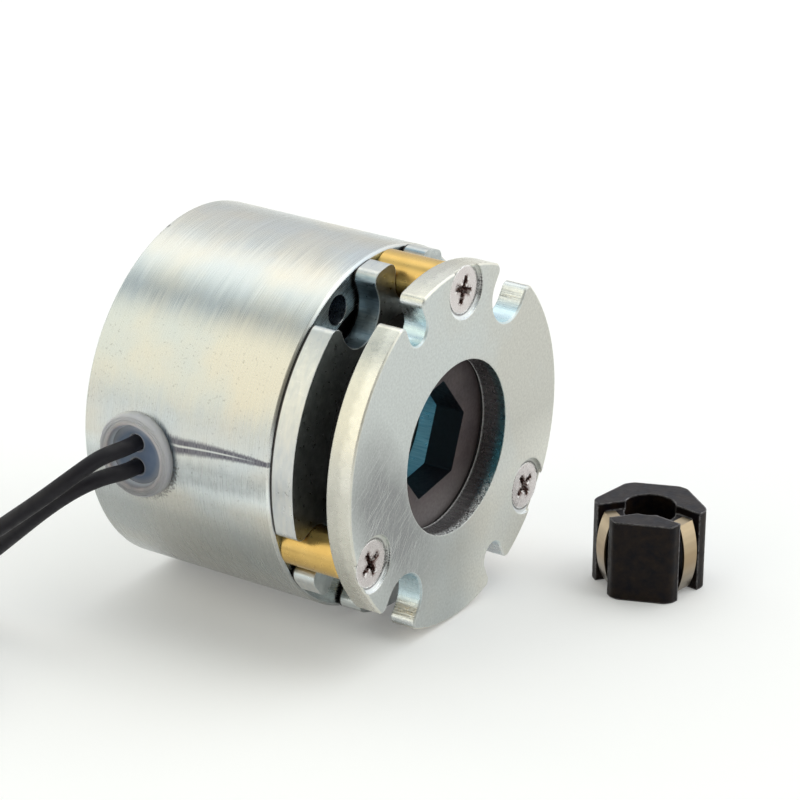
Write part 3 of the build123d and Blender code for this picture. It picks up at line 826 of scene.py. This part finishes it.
# The rotor: a sintered core, brown-grey on its faces and nearly black inside
# its hexagonal hole, between two rings of dark friction material.
hexagon_reach = 0.0096
rotor_rim_radius = 0.0190
hexagon_dark = (0.006, 0.007, 0.012)
rotor_metal = finish("rotor_metal", (0.08, 0.064, 0.062), 0.5, metallic=0.45)
ends = end_face(rotor_metal)
walls = levels(rotor_metal, ends, 1.0, 0.0)
radius = from_axis(rotor_metal)
rotor_face = blend_of(rotor_metal, uneven(rotor_metal, 0.0035, 4),
                      (0.050, 0.036, 0.041), (0.098, 0.074, 0.075))
# painted light: the faces paler low down
low_on_rotor = levels(rotor_metal, along(rotor_metal, place_in(rotor_metal), (0, 0, 1)),
                      -0.006, -0.0125)
rotor_face = blend_of(rotor_metal, low_on_rotor, rotor_face, (0.195, 0.172, 0.172))
speckle = uneven(rotor_metal, 0.0004, 2, 0.0, 0.35)
rotor_face = blend_of(rotor_metal, speckle, rotor_face, (0.10, 0.082, 0.080))
in_hexagon = all_of(rotor_metal,
                    levels(rotor_metal, radius, hexagon_reach, hexagon_reach - 0.0002), walls)
rotor_colour = blend_of(rotor_metal, in_hexagon, rotor_face, hexagon_dark)
on_rim = all_of(rotor_metal,
                levels(rotor_metal, radius, rotor_rim_radius, rotor_rim_radius + 0.0003), walls)
rim_marks = levels(rotor_metal, lathe_marks(rotor_metal, 0.0005, 0.02, 2), 0.3, 0.7)
rim_colour = blend_of(rotor_metal, rim_marks, (0.006, 0.006, 0.008), (0.018, 0.016, 0.018))
rotor_colour = blend_of(rotor_metal, on_rim, rotor_colour, rim_colour)
shade(rotor_metal,
      Base_Color=rotor_colour,
      Roughness=uneven(rotor_metal, 0.0006, 3, 0.42, 0.62),
      Normal=relief(rotor_metal, grain(rotor_metal, 0.0003, 3), 0.00002,
                    rounded_edges(rotor_metal, 0.0002)))
paint("rotor_core", rotor_metal)

lining = finish("friction_lining", (0.010, 0.010, 0.012), 0.7)
shade(lining,
      Base_Color=blend_of(lining, grain(lining, 0.0005, 3),
                          (0.006, 0.006, 0.008), (0.022, 0.019, 0.020)),
      Normal=relief(lining, grain(lining, 0.0004, 3), 0.00004))
paint("front_lining", lining)
paint("rear_lining", lining)


# Inside the housing: the moulded bobbin, its winding of enamelled wire with
# tape round it, and the springs that press the armature on the rotor.
bobbin_plastic = finish("bobbin_plastic", (0.010, 0.010, 0.012), 0.4)
shade(bobbin_plastic, Normal=relief(bobbin_plastic, grain(bobbin_plastic, 0.0004, 2), 0.00001))
paint("coil_bobbin", bobbin_plastic)

wire_enamel = finish("wire_enamel", (0.45, 0.13, 0.05), 0.3, metallic=0.8)
shade(wire_enamel, Normal=relief(wire_enamel, lathe_marks(wire_enamel, 0.0004, 0.05), 0.00006))
paint("coil_winding", wire_enamel)

tape = finish("insulating_tape", (0.55, 0.36, 0.04), 0.35)
shade(tape, Normal=relief(tape, grain(tape, 0.002, 2), 0.00004))
paint("coil_tape", tape)

spring_steel = finish("spring_steel", (0.42, 0.42, 0.43), 0.3, metallic=1.0)
shade(spring_steel, Roughness=uneven(spring_steel, 0.0006, 2, 0.22, 0.4))
for number in (1, 2, 3):
    paint("torque_spring_" + str(number), spring_steel)


# The cable grommet: milky silicone, pressed into the hole in the housing's
# side. Faint rings run round its flange; over the hole it looks blue.
recess_radius = 0.00465
collar_radii = (0.00165, 0.00140)
ring_radii = (0.00565, 0.00612)
ring_half_widths = (0.00018, 0.00004)
peach_inner_radii = (0.0046, 0.0050)
peach_outer_radii = (0.0058, 0.0051)
lead_exits = [(x, 0, z) for x, y, z in (upper_route[0], lower_route[0])]
silicone = finish("milky_silicone", (0.40, 0.41, 0.44), 0.32)
preset(silicone, Subsurface_Weight=0.6, Subsurface_Radius=(0.9, 0.9, 1.0),
       Subsurface_Scale=0.0016, IOR=1.41)
flat_place = vector_of(silicone, "MULTIPLY", place_in(silicone), (1, 0, 1))
ring_radius = distance_to(silicone, flat_place, (grommet_spot[0], 0, grommet_spot[2]))
milky = uneven(silicone, 0.0035, 3)
flange_colour = blend_of(silicone, milky, (0.50, 0.51, 0.55), (0.58, 0.58, 0.60))
# painted shade: the flange darker towards the bottom
low_on_flange = levels(silicone, along(silicone, place_in(silicone), (0, 0, 1)),
                       0.002, -0.006, 1.0, 0.62)
flange_colour = toned(silicone, flange_colour, low_on_flange)
peach = all_of(silicone, levels(silicone, ring_radius, *peach_inner_radii),
               levels(silicone, ring_radius, *peach_outer_radii), milky)
flange_colour = blend_of(silicone, peach, flange_colour, (0.62, 0.54, 0.53))
over_hole = levels(silicone, ring_radius, recess_radius + 0.0006, recess_radius - 0.0012)
blue = blend_of(silicone, milky, (0.110, 0.160, 0.265), (0.180, 0.235, 0.340))
flange_colour = blend_of(silicone, over_hole, flange_colour, blue)
# the recess's wall lets light through, so it is painted pale as light where it is in shade
facing = along(silicone, add(silicone, "ShaderNodeTexCoord", {}).outputs["Normal"], (0, -1, 0))
recess_wall = all_of(silicone, levels(silicone, facing, 0.75, 0.45),
                     levels(silicone, ring_radius,
                            recess_radius + 0.0004, recess_radius + 0.0001))
flange_colour = blend_of(silicone, recess_wall, flange_colour, (0.80, 0.84, 0.90))
# it is drawn up into a collar round each lead
collar = 1.0
for spot in lead_exits:
    collar = sum_of(silicone, "MINIMUM", distance_to(silicone, flat_place, spot), collar)
collar = all_of(silicone, levels(silicone, collar, *collar_radii), 0.6)
flange_colour = blend_of(silicone, collar, flange_colour, (0.50, 0.50, 0.55))
rings = 0.0
for ring_at in ring_radii:
    gap = sum_of(silicone, "ABSOLUTE", sum_of(silicone, "SUBTRACT", ring_radius, ring_at))
    rings = any_of(silicone, levels(silicone, gap, *ring_half_widths), rings)
shade(silicone,
      Base_Color=flange_colour,
      Normal=relief(silicone, sum_of(silicone, "SUBTRACT", 1.0, rings), 0.00010,
                    rounded_edges(silicone, 0.0003)))
paint("cable_grommet", silicone)


# What holds and ends the leads outside the photograph: a black nylon tie and
# the tinned copper strands at their stripped ends.
tie_nylon = finish("tie_nylon", (0.015, 0.015, 0.016), 0.4)
shade(tie_nylon, Normal=relief(tie_nylon, grain(tie_nylon, 0.0005, 2), 0.00002,
                               rounded_edges(tie_nylon, 0.0001)))
paint("lead_tie", tie_nylon)
tinned_copper = finish("tinned_copper", (0.60, 0.58, 0.55), 0.3, metallic=1.0)
shade(tinned_copper, Roughness=uneven(tinned_copper, 0.0005, 2, 0.2, 0.45))
paint("lead_tips", tinned_copper)


# The hub: a hexagonal steel bar, turned on its ends and blackened, with brown
# and blue in it and pale worn edges. A bowed strip of spring steel hooks over
# a web in each of two of its faces.
black_blue = (0.003, 0.003, 0.006)
black_brown = (0.018, 0.011, 0.007)
worn_black = (0.36, 0.35, 0.36)
black_steel = finish("black_oxide_steel", (0.02, 0.018, 0.017), 0.38)
preset(black_steel, Specular_IOR_Level=0.115)
hub_cloud = levels(black_steel, grain(black_steel, 0.0018, 5, roughness=0.65), 0.33, 0.67)
hub_colour = blend_of(black_steel, hub_cloud, black_blue, black_brown)
upward = along(black_steel, add(black_steel, "ShaderNodeTexCoord", {}).outputs["Normal"],
               (0, 0, 1))
turned_end = all_of(black_steel, levels(black_steel, upward, 0.6, 0.9),
                    uneven(black_steel, 0.0009, 4, 0.7, 1.0))
end_colour = blend_of(black_steel, uneven(black_steel, 0.0016, 4, ends=(0.35, 0.65)),
                      (0.023, 0.023, 0.031), (0.045, 0.039, 0.040))
hub_colour = blend_of(black_steel, turned_end, hub_colour, end_colour)
hub_rounding = rounded_edges(black_steel, 0.00045)
worn_line = all_of(black_steel, edge_share(black_steel, hub_rounding),
                   uneven(black_steel, 0.0006, 3, 0.30, 1.0, ends=(0.35, 0.65)))
shade(black_steel,
      Base_Color=blend_of(black_steel, worn_line, hub_colour, worn_black),
      Roughness=uneven(black_steel, 0.0008, 3, 0.30, 0.48),
      Normal=relief(black_steel, grain(black_steel, 0.0004, 3), 0.00003, hub_rounding))
paint("hub_body", black_steel)

# the leaf springs: painted light, yellower and brighter at the top, darker in the
# middle and greyer towards the floor
leaf_top = (0.54, 0.43, 0.285)
leaf_middle = (0.34, 0.25, 0.15)
leaf_bottom = (0.27, 0.24, 0.195)
leaf_steel = finish("leaf_steel", (0.50, 0.40, 0.27), 0.28, metallic=1.0)
leaf_height = along(leaf_steel, place_in(leaf_steel), (0, 0, 1))
leaf_colour = blend_of(leaf_steel, levels(leaf_steel, leaf_height, -0.0180, -0.0215),
                       leaf_top, leaf_middle)
leaf_colour = blend_of(leaf_steel, levels(leaf_steel, leaf_height, -0.0225, -0.0265),
                       leaf_colour, leaf_bottom)
squeezed = vector_of(leaf_steel, "MULTIPLY", place_in(leaf_steel), (40, 40, 900))
rolling = levels(leaf_steel, grain(leaf_steel, 1.0, 1, squeezed), 0.35, 0.65, 0.93, 1.04)
shade(leaf_steel, Base_Color=toned(leaf_steel, leaf_colour, rolling))
paint("leaf_spring_left", leaf_steel)
paint("leaf_spring_right", leaf_steel)

set_screw_steel = finish("set_screw_steel", (0.02, 0.02, 0.022), 0.35, metallic=0.6)
shade(set_screw_steel, Normal=relief(set_screw_steel, grain(set_screw_steel, 0.0004, 2), 0.00001))
paint("hub_set_screw", set_screw_steel)
